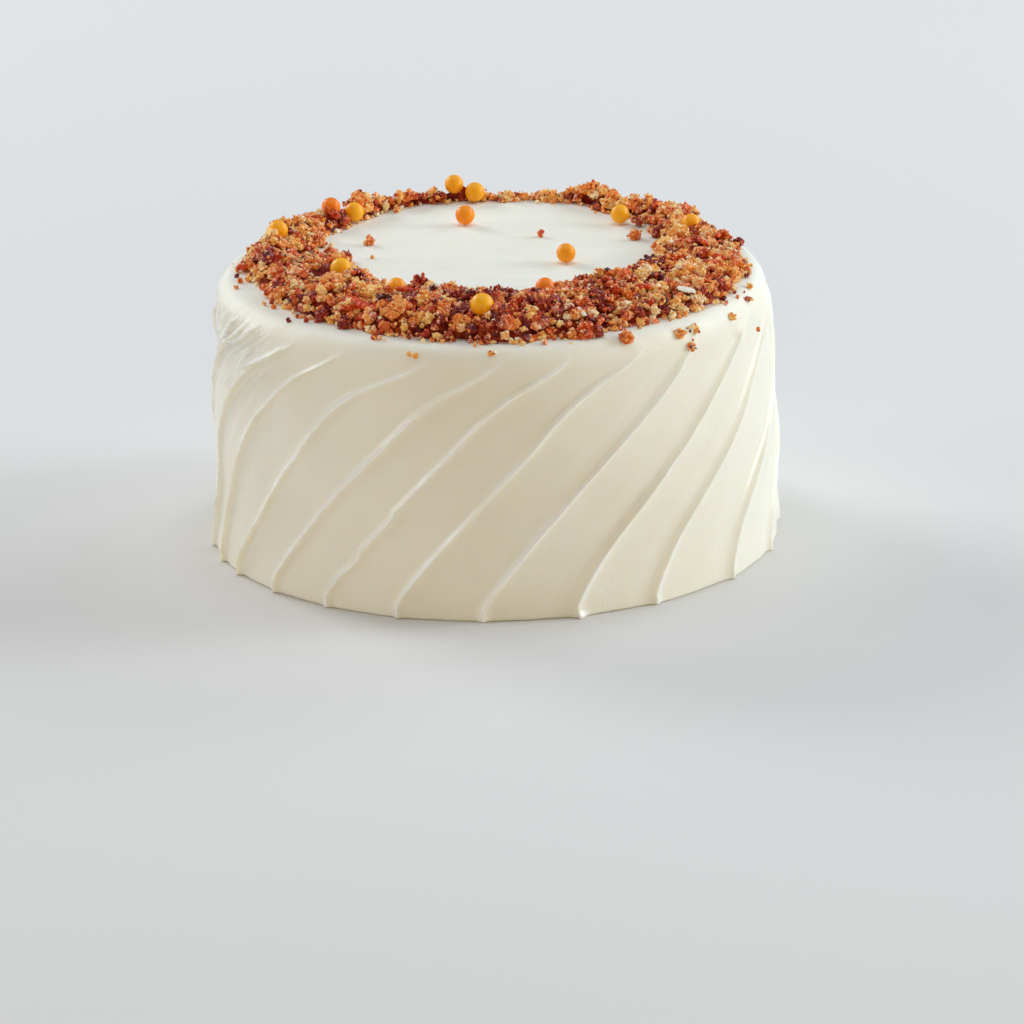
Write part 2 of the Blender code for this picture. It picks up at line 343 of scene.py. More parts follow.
# For each lip: width of its left face, share of its right side that slopes broadly, its height, how torn its crest is
LEFT_FACES = (3.0, 3.6, 4.0, 3.8, 3.2, 3.4, 4.0, 4.8, 5.0, 4.8) + (2.8, 3.2, 2.4, 3.0, 3.4, 2.6, 3.0, 2.4, 2.8, 2.6)
BROAD_SHARES = (0.2, 0.12, 0.15, 0.15, 0.2, 0.42, 0.6, 0.75, 0.85, 0.8) + (0.6, 0.5, 0.4, 0.5, 0.4, 0.5, 0.4, 0.45, 0.3, 0.3)
LIP_HEIGHTS = (1.9, 1.9, 2.0, 2.0, 1.8, 1.9, 2.1, 2.1, 2.3, 2.3) + (1.7, 1.6, 1.8, 1.5, 1.7, 1.6, 1.8, 1.5, 1.7, 1.6)
TORN_LIPS = (0.5, 0.5, 0.75, 0.75, 0.6, 0.4, 0.15, 0.15, 0.12, 0.12) + (0.2, 0.25, 0.3, 0.2, 0.35, 0.25, 0.3, 0.3, 0.4, 0.5)
WOBBLY_LIP, WOBBLE_FROM, WOBBLE_TO = 4, 8.0, 46.0
BROAD_REACH = 0.46
NARROW_WIDTH = 1.5
TORN_WIDTH = 1.0
EDGE_SHARE, EDGE_WIDTH = 0.12, 0.9
CREST_WIDTH, CREST_EDGE = 2.2, 0.6
RIGHT_LIT_LIPS = (7, 8, 9, 10, 11, 12, 13)
FOOT_BEAD_HEIGHT = 0.6
FOOT_BEAD_WIDTH = 1.7
FOOT_BEAD_REACH = 5.0
FOOT_SINK = 0.3
FOOT_TIP = (7, 1.8, 2.2, 2.0)


def wall_radius(height):
    return FOOT_RADIUS - WALL_TAPER * height / CAKE_HEIGHT - WALL_LEAN * smoothstep(LEAN_FROM, LEAN_TO, height)


WALL_LEAN, LEAN_FROM, LEAN_TO = 1.1, 46.0, 97.0
SHOULDER_REACH = 9.0
SHOULDER_DROP = 12.0
SHOULDER_STEPS = 26


def shoulder_profile():
    """Radius, height and turn of the rounded shoulder, which bends gently at both ends."""
    share = (np.arange(SHOULDER_STEPS) + 0.5) / SHOULDER_STEPS
    turn = np.radians(90) * smoothstep(0.0, 1.0, share)
    rise = np.cumsum(np.cos(turn))
    inward = np.cumsum(np.sin(turn))
    start = CAKE_HEIGHT - SHOULDER_DROP
    height = start + SHOULDER_DROP * rise / rise[-1]
    radius = wall_radius(start) - SHOULDER_REACH * inward / inward[-1]
    return radius, height, np.radians(90) * smoothstep(0.0, 1.0, np.arange(1, SHOULDER_STEPS + 1) / SHOULDER_STEPS)


SHOULDER_RADII, SHOULDER_HEIGHTS, SHOULDER_TURNS = shoulder_profile()
SHOULDER_FOOT = CAKE_HEIGHT - SHOULDER_DROP
TOP_RADIUS = SHOULDER_RADII[-1]


def icing_height(radius):
    """Height of the icing's top at this distance from the axis, with the rounded shoulder."""
    return np.interp(radius, SHOULDER_RADII[::-1], SHOULDER_HEIGHTS[::-1], left=CAKE_HEIGHT)


def sweep(height):
    share = (np.minimum(height, LIP_FADE_TO) - SWEEP_START) / (CAKE_HEIGHT - SWEEP_START)
    return SWEEP_ANGLE * np.maximum(share, 0.0) ** SWEEP_POWER


def bend(index, height):
    """Millimetres that each lip has strayed from the shared lean at this height."""
    foot, middle, high, end = (np.array(values)[index] for values in zip(*LIP_BENDS))
    stray = foot * (1 - smoothstep(0.0, FOOT_BEND_TO, height))
    stray = stray + middle * np.exp(-(((height - MIDDLE_BEND_AT) / MIDDLE_BEND_REACH) ** 2))
    stray = stray + high * np.exp(-(((height - HIGH_BEND_AT) / HIGH_BEND_REACH) ** 2))
    return stray + end * smoothstep(END_BEND_FROM, END_BEND_TO, height)


def icing_columns():
    """For each column of points round the side: foot angle, lip to its left, distance from it and flute width."""
    columns = []
    for index, start in enumerate(LIPS):
        width = ((LIPS[(index + 1) % len(LIPS)] - start) % 360) * math.radians(1) * FOOT_RADIUS
        middle_from, middle_to = RIGHT_STEPS[-1], width - LEFT_STEPS[-1]
        step = FINE_FLUTE_STEP if index in FINE_FLUTES else FLUTE_STEP
        count = max(1, round((middle_to - middle_from) / step))
        places = list(RIGHT_STEPS)
        places += [middle_from + (middle_to - middle_from) * n / count for n in range(1, count)]
        places += [width - step for step in reversed(LEFT_STEPS)]
        columns += [(start + math.degrees(place / FOOT_RADIUS), index, place, width) for place in places]
    return [np.array(values) for values in zip(*columns)]


def icing_rows():
    """Height, radius between the lips and turn of the surface, from the foot up to where the flat top starts."""
    rows = [(0.0, FOOT_RADIUS - 0.9, 0.0), (0.25, FOOT_RADIUS - 0.3, 0.0), (0.7, FOOT_RADIUS, 0.0)]
    count = round((SHOULDER_FOOT - 1.3) / ROW_STEP)
    for step in range(count + 1):
        height = 1.3 + (SHOULDER_FOOT - 1.3) * step / count
        rows.append((height, wall_radius(height), 0.0))
    return np.array(rows + list(zip(SHOULDER_HEIGHTS, SHOULDER_RADII, SHOULDER_TURNS)))


def lip_along(index, height):
    """Each lip's height, the torn icing on its crest, and its waver, as it climbs the side."""
    fade = 1 - smoothstep(LIP_FADE_FROM + 2.0, LIP_FADE_TO + 2.5, height)
    foot = 1 - FOOT_SINK * np.exp(-((height / FOOT_BEAD_REACH) ** 2))
    tall = np.array(LIP_HEIGHTS)[index] * (1 + 0.16 * wavy(height / 19.0, index * 5.7, 0, 13)) * foot
    amount = np.array(TORN_LIPS)[index]
    torn = amount * (0.55 * wavy(height / 1.9, index * 7.3, 0, 11) + 0.55 * wavy(height / 4.4, index * 3.1, 0, 12))
    waver = 0.35 * wavy(height / 17.0, index * 4.9, 0, 14) + 0.45 * amount * wavy(height / 4.1, index * 2.3, 0, 15)
    inside = smoothstep(WOBBLE_FROM, WOBBLE_FROM + 6, height) * (1 - smoothstep(WOBBLE_TO - 10, WOBBLE_TO, height))
    wobble = np.where(index == WOBBLY_LIP, inside * 1.5 * wavy(height / 6.5, 3.3, 0, 16), 0.0)
    return tall * fade, torn * fade, bend(index, height) + (waver + wobble) * smoothstep(1.0, 9.0, height)


def lip_sides(away, width, face, broad):
    """A lip's section on its right and on its left, as shares of its height, this far from its crest."""
    slope = np.clip(1 - away / (BROAD_REACH * width), 0, 1) ** 2
    narrow = np.exp(-((away / NARROW_WIDTH) ** 1.4))
    left = np.exp(-((away / (0.62 * face)) ** 1.45))
    return broad * slope + (1 - broad) * narrow, left


def side_relief(index, place, width, height):
    """Icing added to the wall, in millimetres, at columns (1, n) and rows (m, 1)."""
    after = (index + 1) % len(LIPS)
    faces, broads = np.array(LEFT_FACES), np.array(BROAD_SHARES)
    away = width - place
    relief = 0.0
    for lip, distance, side in ((index, place, 0), (after, away, 1)):
        tall, torn, _ = lip_along(lip, height)
        relief = relief + tall * lip_sides(distance, width, faces[lip], broads[lip])[side]
        relief = relief + torn * np.exp(-((distance / TORN_WIDTH) ** 2))
        relief = relief + EDGE_SHARE * tall * np.exp(-((distance / EDGE_WIDTH) ** 2))
        bead = FOOT_BEAD_HEIGHT * np.exp(-((distance / FOOT_BEAD_WIDTH) ** 2))
        relief = relief + bead * np.exp(-((height / FOOT_BEAD_REACH) ** 2))
    lip, reach, spread, tall = FOOT_TIP
    tip = np.where(index == lip, np.exp(-(((place - 1.2) / spread) ** 2)), 0.0) * np.exp(-((height / tall) ** 2))
    return relief + reach * tip


# Folds of torn icing at the left shoulder: height, width, and the angles and heights that each passes
FOLDS = (
    (1.1, 0.8, ((-80, 81), (-75, 88), (-72, 93), (-70, 97), (-68, 100))),
    (1.0, 0.7, ((-75, 88), (-70, 90), (-67, 92), (-64, 95), (-61, 98), (-58, 102))),
    (0.8, 0.7, ((-60, 86), (-56, 89), (-53, 92), (-49, 97))),
    (-0.8, 0.5, ((-72, 74), (-70.6, 71))),
)
FLAP_HEIGHT, FLAP_REACH = 0.5, 3.5


def folds(angle, height):
    """Ridges of icing pushed up by the knife, each with a flap that slopes away above it."""
    total = 0.0
    u = np.radians(between(angle, 0)) * FOOT_RADIUS
    for tall, wide, path in FOLDS:
        nearest = np.full(np.broadcast_shapes(u.shape, height.shape), 1e3)
        above_it = np.zeros_like(nearest)
        for (from_angle, from_height), (to_angle, to_height) in zip(path, path[1:]):
            ax, bx = math.radians(from_angle) * FOOT_RADIUS, math.radians(to_angle) * FOOT_RADIUS
            dx, dy = bx - ax, to_height - from_height
            along = np.clip(((u - ax) * dx + (height - from_height) * dy) / (dx * dx + dy * dy), 0, 1)
            far = np.hypot(u - ax - along * dx, height - from_height - along * dy)
            side = dx * (height - from_height) - dy * (u - ax)
            above_it = np.where(far < nearest, (side > 0) * 1.0, above_it)
            nearest = np.minimum(far, nearest)
        uneven = 1 + 0.35 * wavy(u / 1.7, height / 1.7, 0, 27)
        ridge = np.exp(-((nearest / wide) ** 1.5)) * uneven
        flap = FLAP_HEIGHT * above_it * np.exp(-nearest / FLAP_REACH) if tall > 0 else 0.0
        total = total + tall * (ridge + flap)
    return total


def torn_region(angle, height):
    """1 where the icing is scraped and torn, at the left shoulder and below it, and 0 elsewhere."""
    side = between(angle, 0)
    region = smoothstep(-124, -104, side) * (1 - smoothstep(-64, -40, side))
    return region * smoothstep(54, 92, height) * (1 - smoothstep(101, 105, height))


def knife_marks(angle, foot_angle, height):
    """Faint smears along the swirls, soft dents, and torn icing at the left shoulder."""
    across = np.radians(foot_angle) * FOOT_RADIUS
    x, y = round_trip(foot_angle, FOOT_RADIUS)
    on_side = 1 - smoothstep(88, 98, height)
    smears = 0.07 * wavy(x / 5.0, y / 5.0, height / 42.0, 21) + 0.035 * wavy(x / 2.2, y / 2.2, height / 20.0, 22)
    ax, ay = round_trip(angle, FOOT_RADIUS)
    dents = 0.22 * rough(ax / 17.0, ay / 17.0, height / 14.0, 23, 2)
    region = torn_region(angle, height)
    sx, sy = round_trip(foot_angle + 0.35 * (angle - foot_angle), FOOT_RADIUS)
    torn = rough(sx / 4.6, sy / 4.6, height / 9.0, 24, 3)
    ragged_edge = 0.25 * wavy(sx / 1.1, sy / 1.1, height / 1.6, 25)
    flakes = smoothstep(0.0, 0.35, torn + 0.3 * ragged_edge) * 0.45 + 0.3 * torn + 0.2 * ragged_edge
    return on_side * smears + dents * (0.5 + 0.5 * on_side) + region * flakes + folds(angle, height)


def top_marks(x, y):
    """Faint marks of the spatula, running along X, and broad unevenness."""
    return 0.13 * wavy(x / 40.0, y / 3.6, 0, 31) + 0.06 * wavy(x / 20.0, y / 1.7, 0, 32) + 0.28 * rough(x / 30.0, y / 18.0, 0, 33, 2)


def icing_mesh():
    foot_angle, index, place, width = icing_columns()
    index = index.astype(int)
    rows = icing_rows()
    height, radius, turn = rows[:, :1], rows[:, 1:2], rows[:, 2:]
    here = index[None, :]
    left_waver = lip_along(here, height)[2]
    right_waver = lip_along((here + 1) % len(LIPS), height)[2]
    share = (place / width)[None, :]
    waver = left_waver * (1 - share) + right_waver * share
    angle = foot_angle[None, :] + sweep(height) + np.degrees(waver / FOOT_RADIUS)
    relief = side_relief(here, place[None, :], width[None, :], height)
    relief = relief + knife_marks(angle, foot_angle[None, :], height)
    x, y = round_trip(angle, radius)
    flat = smoothstep(SHOULDER_FOOT + 2.0, CAKE_HEIGHT - 0.5, height)
    relief = relief * (1 - flat) + top_marks(x, y) * flat
    uneven_foot = 0.35 * wavy(foot_angle / 3.1, 0.5, 0, 41)[None, :] * np.exp(-(height / 1.5))
    # The relief stands out from the wall, and turns upwards over the shoulder
    radius = radius + (relief + uneven_foot) * np.cos(turn)
    z = height + relief * np.sin(turn)
    z[0] = 0.0
    x, y = round_trip(angle, radius)
    points = [np.stack([x, y, z], axis=-1).reshape(-1, 3)]
    # Painted highlight: the base colour is whitened along the crests, to their left on the left of the cake and to
    # their right on its right, the sides the lights catch; the folds are whitened too
    rightwards = np.isin(index, RIGHT_LIT_LIPS), np.isin((index + 1) % len(LIPS), RIGHT_LIT_LIPS)
    after_crest = np.exp(-((place / np.where(rightwards[0], CREST_WIDTH, CREST_EDGE)) ** 1.6))
    before_crest = np.exp(-(((width - place) / np.where(rightwards[1], CREST_EDGE, CREST_WIDTH)) ** 1.6))
    patchy = 0.75 + 0.35 * wavy(index * 3.7, height / 7.0, 0, 17)
    crest_gloss_and_painted_highlight = np.maximum(after_crest, before_crest)[None, :] * patchy
    crest_gloss_and_painted_highlight = (np.maximum(crest_gloss_and_painted_highlight, 0.8 * np.clip(folds(angle, height), 0, 1)) * (1 - flat)).ravel()
    swirl_x, swirl_y = np.broadcast_arrays(*round_trip(foot_angle[None, :], FOOT_RADIUS) + (height * MM,))[:2]
    swirl = np.stack([swirl_x * MM, swirl_y * MM, np.broadcast_to(height * MM, swirl_x.shape)], axis=-1).reshape(-1, 3)
    faces = []
    around = len(foot_angle)
    column = np.arange(around)
    after = (column + 1) % around
    for low in range(len(rows) - 1):
        a, b = low * around, (low + 1) * around
        faces.append(np.stack([a + column, a + after, b + after], axis=1))
        faces.append(np.stack([a + column, b + after, b + column], axis=1))
    # Flat top: rings towards the axis, with half the columns where they crowd
    start = (len(rows) - 1) * around
    ring_angle = angle[-1]
    total = len(rows) * around
    radius_now = TOP_RADIUS
    step = 2.0
    while radius_now - step > 2.5:
        radius_now -= step
        halve = len(ring_angle) * 2 > 2 * math.pi * radius_now / 0.95 and len(ring_angle) % 2 == 0
        inner_angle = ring_angle[::2] if halve else ring_angle
        x, y = round_trip(inner_angle, radius_now)
        points.append(np.stack([x, y, CAKE_HEIGHT + top_marks(x, y)], axis=1))
        count, inner = len(ring_angle), len(inner_angle)
        if halve:
            k = np.arange(inner)
            a0, a1, a2 = start + 2 * k, start + 2 * k + 1, start + (2 * k + 2) % count
            b0, b1 = total + k, total + (k + 1) % inner
            faces += [np.stack(t, axis=1) for t in ((a0, a1, b0), (a1, b1, b0), (a1, a2, b1))]
        else:
            k = np.arange(count)
            n = (k + 1) % count
            faces.append(np.stack([start + k, start + n, total + n], axis=1))
            faces.append(np.stack([start + k, total + n, total + k], axis=1))
        ring_angle, start = inner_angle, total
        total += inner
        step = 2.0 if radius_now > 30 else 2.4
    k = np.arange(len(ring_angle))
    n = (k + 1) % len(ring_angle)
    points.append(np.array([[0.0, 0.0, CAKE_HEIGHT + float(top_marks(0.0, 0.0))], [0.0, 0.0, 0.0]]))
    faces.append(np.stack([start + k, start + n, np.full(len(k), total)], axis=1))
    faces.append(np.stack([after, column, np.full(around, total + 1)], axis=1))
    points = np.concatenate(points)
    beyond = len(points) - len(crest_gloss_and_painted_highlight)
    return points, np.concatenate(faces), np.pad(crest_gloss_and_painted_highlight, (0, beyond)), np.pad(swirl, ((0, beyond), (0, 0)))


# ---------------------------------------------------------------- crumbs


def ring_table(function):
    """The function's value at any angle, from a fine table round the ring."""
    angles = np.arange(0.0, 361.0, 0.5)
    values = np.array([function(angle) for angle in angles])
    return lambda angle: np.interp(np.mod(angle, 360.0), angles, values)


def hump(angle, centre, half_width):
    return 1 - smoothstep(0, 2 * half_width, abs(between(angle, centre)))


def ragged(angle, seed):
    x, y = round_trip(angle, RAGGED_WAVES)
    return 2 * noise.noise(Vector((x, y, seed)))


def inner_edge(angle):
    turn = math.radians(angle)
    radius = INNER_MEAN + INNER_SHIFT * math.cos(turn) + INNER_SQUASH * math.cos(2 * turn)
    radius += sum(reach * hump(angle, centre, width) for centre, width, reach in INNER_LOBES)
    return radius + EDGE_RAGGEDNESS * ragged(angle, INNER_SEED)


def outer_edge(angle):
    turn = math.radians(angle)
    radius = OUTER_MEAN + OUTER_SHIFT * math.cos(turn) + OUTER_SIDEWAYS * math.sin(turn)
    radius += sum(reach * hump(angle, centre, width) for centre, width, reach in OUTER_LOBES)
    return radius + EDGE_RAGGEDNESS * ragged(angle, OUTER_SEED)


inner_radius = ring_table(inner_edge)
outer_radius = ring_table(outer_edge)


def pile_height(angle, share, radius):
    """Height of the crumbs above the icing, this share of the way from the inner to the outer edge."""
    centre, half_width, missing = RING_GAP
    tallest = PILE_HEIGHT + PILE_FRONT_EXTRA * np.cos(np.radians(angle))
    tallest = tallest * (1 - missing * hump(angle, centre, half_width))
    x, y = round_trip(angle, radius)
    lumps = np.array([noise.noise(Vector((a / LUMP_SIZE, b / LUMP_SIZE, LUMP_SEED))) for a, b in zip(x.ravel(), y.ravel())])
    tallest = tallest + LUMP_HEIGHT * 2 * lumps.reshape(x.shape)
    arch = np.clip(1 - np.abs(2 * share - 1) ** PILE_SQUARENESS, 0, 1) ** PILE_STEEPNESS
    return EDGE_HEIGHT + (tallest - EDGE_HEIGHT) * arch


CORE_SINK = 1.9
CORE_INSET = 2.2
CORE_COLUMNS = 620
CORE_STEPS = 56


def crumb_core():
    """The pile's body, a little lower than the crumbs on it, with a crumbly surface. Its dark colour is painted shade
    in the gaps between the crumbs.
    """
    angle = np.arange(CORE_COLUMNS) * 360.0 / CORE_COLUMNS
    inner, outer = inner_radius(angle) + CORE_INSET, outer_radius(angle) - CORE_INSET
    share = 0.5 - 0.5 * np.cos(np.pi * np.arange(CORE_STEPS + 1) / CORE_STEPS)
    share = 0.45 * share + 0.55 * np.arange(CORE_STEPS + 1) / CORE_STEPS
    grid_angle = np.broadcast_to(angle[:, None], (CORE_COLUMNS, CORE_STEPS + 1))
    radius = inner[:, None] + share[None, :] * (outer - inner)[:, None]
    pile = pile_height(grid_angle, np.broadcast_to(share[None, :], radius.shape), radius)
    x, y = round_trip(grid_angle, radius)
    crumbly = 0.9 * rough(x / 4.6, y / 4.6, 0.3, 51, 2) + 0.55 * wavy(x / 1.7, y / 1.7, 0.7, 53) + 0.3 * wavy(x / 0.95, y / 0.95, 0.2, 54)
    top = np.maximum(pile - CORE_SINK + crumbly, 0.35)
    edge = smoothstep(0, 0.05, np.minimum(share, 1 - share))[None, :]
    z = icing_height(radius) + top * edge - 0.25 * (1 - edge)
    shift = 0.6 * wavy(x / 1.9, y / 1.9, 4.4, 55)
    x, y = round_trip(grid_angle, radius + shift * edge)
    upper = np.stack([x, y, z], axis=-1).reshape(-1, 3)
    low_radius = np.stack([inner, (inner + outer) / 2, outer], axis=1)
    lx, ly = round_trip(angle[:, None], low_radius)
    lower = np.stack([lx, ly, np.minimum(icing_height(low_radius), CAKE_HEIGHT) - 0.45], axis=-1).reshape(-1, 3)
    points = np.concatenate([upper, lower])
    faces = []
    column = np.arange(CORE_COLUMNS)
    after = (column + 1) % CORE_COLUMNS
    width = CORE_STEPS + 1
    for step in range(CORE_STEPS):
        a, b = column * width + step, after * width + step
        faces.append(np.stack([a, b + 1, a + 1], axis=1)[:, ::-1])
        faces.append(np.stack([a, b, b + 1], axis=1)[:, ::-1])
    low, low_after = len(upper) + column * 3, len(upper) + after * 3
    first, first_after = column * width, after * width
    last, last_after = first + CORE_STEPS, first_after + CORE_STEPS
    for a, b, c, d in ((low, low_after, first, first_after), (low + 1, low_after + 1, low, low_after), (low + 2, low_after + 2, low + 1, low_after + 1), (last, last_after, low + 2, low_after + 2)):
        faces.append(np.stack([a, b, d], axis=1)[:, ::-1])
        faces.append(np.stack([a, d, c], axis=1)[:, ::-1])
    # Painted shade: the tint rises with the crumbly bumps, so the hollows are darker, and the underside is given a dark
    # tint
    tint = np.concatenate([(0.35 + 0.4 * crumbly / 1.6 + 0.3 * wavy(x / 2.4, y / 2.4, 0, 56)).ravel(), np.full(len(lower), 0.2)])
    return points, np.concatenate(faces), tint


def pebble(subdivisions, seed, bumps, coarse=0.34, fine=0.2):
    """One irregular crumb about 1 across: a sphere's mesh pushed in and out."""
    work = bmesh.new()
    bmesh.ops.create_icosphere(work, subdivisions=subdivisions, radius=0.5)
    points = np.array([v.co[:] for v in work.verts])
    triangles = np.array([[v.index for v in face.verts] for face in work.faces])
    work.free()
    x, y, z = (points * bumps).T
    push = 1 + coarse * wavy(x + seed * 3.7, y, z, seed) + fine * wavy(x * 2.1, y * 2.1 + seed, z * 2.1, seed + 5)
    return points * push[:, None], triangles


def strip(seed, rings=26, sides=12):
    """A short shred about 1 long: a rough rod with ridges along it, a little bent, with blunt ends."""
    along = np.linspace(-0.5, 0.5, rings)
    turn = np.arange(sides) * 2 * math.pi / sides
    u, v = np.meshgrid(along, turn, indexing="ij")
    thin = np.sqrt(np.clip(1 - np.abs(2 * u) ** 5, 0, 1))
    ridge = 1 + 0.2 * wavy(u * 16, np.cos(v) * 1.3 + seed, np.sin(v) * 1.3, seed) + 0.13 * wavy(u * 31, v * 0.9, seed, seed + 3)
    bend = 0.10 * np.sin(3.1 * u + seed) + 0.03 * wavy(u * 5, seed, 0, seed + 9)
    points = np.stack([u, bend + 0.5 * np.cos(v) * thin * ridge, 0.5 * np.sin(v) * thin * ridge], axis=-1).reshape(-1, 3)
    ends = np.array([[-0.5, points[:sides, 1].mean(), 0.0], [0.5, points[-sides:, 1].mean(), 0.0]])
    faces = []
    for ring in range(rings - 1):
        for side in range(sides):
            a, b = ring * sides + side, ring * sides + (side + 1) % sides
            faces += [(a, a + sides, b + sides), (a, b + sides, b)]
    first, last, total = 0, (rings - 1) * sides, rings * sides
    for side in range(sides):
        after = (side + 1) % sides
        faces += [(total, first + side, first + after), (total + 1, last + after, last + side)]
    return np.concatenate([points, ends]), np.array(faces)


def turns(rng, count):
    """Random rotations, as matrices."""
    q = rng.normal(size=(count, 4))
    w, x, y, z = (q / np.linalg.norm(q, axis=1)[:, None]).T
    return np.stack([
        1 - 2 * (y * y + z * z), 2 * (x * y - z * w), 2 * (x * z + y * w),
        2 * (x * y + z * w), 1 - 2 * (x * x + z * z), 2 * (y * z - x * w),
        2 * (x * z - y * w), 2 * (y * z + x * w), 1 - 2 * (x * x + y * y),
    ], axis=1).reshape(-1, 3, 3)


def scatter(rng, shapes, centres, sizes, tints, uneven=0.25):
    """Joins copies of the shapes, each turned and stretched its own way, into one set of arrays."""
    points, faces, values = [], [], []
    total = 0
    pick = rng.integers(0, len(shapes), len(centres))
    stretch = 1 + rng.uniform(-uneven, uneven, size=(len(centres), 3))
    spin = turns(rng, len(centres))
    for number, (shape, triangles) in enumerate(shapes):
        chosen = np.flatnonzero(pick == number)
        local = shape[None] * (stretch[chosen] * sizes[chosen, None])[:, None, :]
        placed = np.einsum("nij,nkj->nki", spin[chosen], local) + centres[chosen, None, :]
        points.append(placed.reshape(-1, 3))
        faces.append((triangles[None] + (total + len(shape) * np.arange(len(chosen)))[:, None, None]).reshape(-1, 3))
        values.append(np.repeat(tints[chosen], len(shape)))
        total += len(shape) * len(chosen)
    return np.concatenate(points), np.concatenate(faces), np.concatenate(values)


def join(sets):
    points, faces, values, total = [], [], [], 0
    for p, f, v in sets:
        points.append(p)
        faces.append(f + total)
        values.append(v)
        total += len(p)
    return np.concatenate(points), np.concatenate(faces), np.concatenate(values)


def pearl_facts():
    facts = []
    for number in range(1, PEARL_COUNT + 1):
        low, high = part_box(f"pearl_{number:02d}")
        low, high = np.array(low) / MM, np.array(high) / MM
        facts.append(((low + high) / 2, float((high - low).max())))
    return facts


def spread_over_ring(rng, wanted, spacing):
    """Places in the ring, no two nearer than the spacing: angles, shares across, radii, x and y."""
    kept, cells = [], {}
    for _ in range(wanted * 60):
        if len(kept) == wanted:
            break
        angle = rng.uniform(0, 360)
        radius = math.sqrt(rng.uniform(38.0**2, 104.0**2))
        inner, outer = float(inner_radius(angle)), float(outer_radius(angle))
        share = (radius - inner) / (outer - inner)
        if not 0.0 < share < 1.0:
            continue
        x, y = round_trip(angle, radius)
        cell = (int(x // spacing), int(y // spacing))
        near = [p for i in (-1, 0, 1) for j in (-1, 0, 1) for p in cells.get((cell[0] + i, cell[1] + j), ())]
        if any((x - a) ** 2 + (y - b) ** 2 < spacing**2 for a, b in near):
            continue
        cells.setdefault(cell, []).append((x, y))
        kept.append((angle, share, radius, x, y))
    return np.array(kept)


def clear_of_pearls(centres, sizes, pearls, overlap=0.15):
    """Which crumbs stay out of every pearl."""
    keep = np.ones(len(centres), dtype=bool)
    for centre, diameter in pearls:
        keep &= np.linalg.norm(centres - centre, axis=1) > diameter / 2 + sizes * 0.42 - overlap
    return keep


DARK, RED, AMBER, GOLD = 0, 1, 2, 3
KIND_NAMES = ("dark_crumbs", "red_crumbs", "amber_crumbs", "golden_crumbs")
# Chance that a grain on a lump of each kind is itself dark, red, amber or golden
GRAIN_MIX = ((0.58, 0.23, 0.11, 0.08), (0.24, 0.46, 0.20, 0.10), (0.10, 0.20, 0.46, 0.24), (0.05, 0.12, 0.27, 0.56))
CLUSTER_COUNT = 1300
CLUSTER_SPACING = 2.6
CLUSTER_SMALLEST, CLUSTER_RANGE = 2.4, 5.0
FRINGE_COUNT = 420
GRAIN_SIZE, GRAIN_SPREAD = 0.94, 0.38
GRAIN_SMALLEST, GRAIN_LARGEST = 0.55, 2.3
LOOSE_GRAINS = 700


def kind_shares(angle):
    """How much of the ring is of each kind but the last at this angle, added up: the front is darkest, the left palest.
    The darker front is painted shade and the paler sides painted light.
    """
    front = hump(angle, 2.0, 42.0)
    left = hump(angle, -95.0, 38.0)
    dark = 0.09 + 0.33 * front - 0.02 * left
    red = 0.18 + 0.11 * front - 0.02 * left
    golden = 0.42 - 0.28 * front - 0.04 * left
    return dark, dark + red, 1 - golden


def kinds_of(rng, angle, x, y, patchiness):
    """The kind of each lump, in loose patches of like crumbs."""
    patch = np.clip(0.5 + 0.62 * rough(x / 8.0, y / 8.0, 0, 61, 2), 0, 1)
    draw = (1 - patchiness) * rng.uniform(size=len(angle)) + patchiness * patch
    order = np.argsort(np.argsort(draw)) / len(draw)
    return sum((order >= share).astype(int) for share in kind_shares(angle))


def crumb_clusters(rng):
    """Lumps all over the ring: centres, sizes, kinds and tints."""
    angle, share, radius, x, y = spread_over_ring(rng, CLUSTER_COUNT, CLUSTER_SPACING).T
    size = CLUSTER_SMALLEST + CLUSTER_RANGE * rng.beta(1.4, 3.4, len(angle))
    size *= 0.72 + 0.28 * smoothstep(0.0, 0.18, np.minimum(share, 1 - share))
    icing = icing_height(radius)
    base = icing + np.maximum(pile_height(angle, share, radius) - CORE_SINK, 0.0)
    z = np.maximum(base + size * rng.uniform(-0.04, 0.36, len(angle)), icing + size * 0.34)
    # Small lumps that lie on the icing along both edges, closer together near the ring
    edge = rng.uniform(0, 360, FRINGE_COUNT)
    outside = rng.random(FRINGE_COUNT) < 0.62
    away = rng.exponential(1.5, FRINGE_COUNT) - 1.4
    reach = np.where(outside, outer_radius(edge) + away, inner_radius(edge) - 0.6 * away)
    fringe = np.clip(rng.lognormal(math.log(2.0), 0.3, FRINGE_COUNT), 1.2, 3.6)
    ex, ey = round_trip(edge, reach)
    ez = icing_height(reach) + fringe * 0.32
    angle, x, y = np.concatenate([angle, edge]), np.concatenate([x, ex]), np.concatenate([y, ey])
    size, z = np.concatenate([size, fringe]), np.concatenate([z, ez])
    kind = kinds_of(rng, angle, x, y, 0.38)
    tint = np.clip(rng.normal(0.5, 0.24, len(angle)), 0.02, 0.98)
    return np.stack([x, y, z], axis=1), size, kind, tint


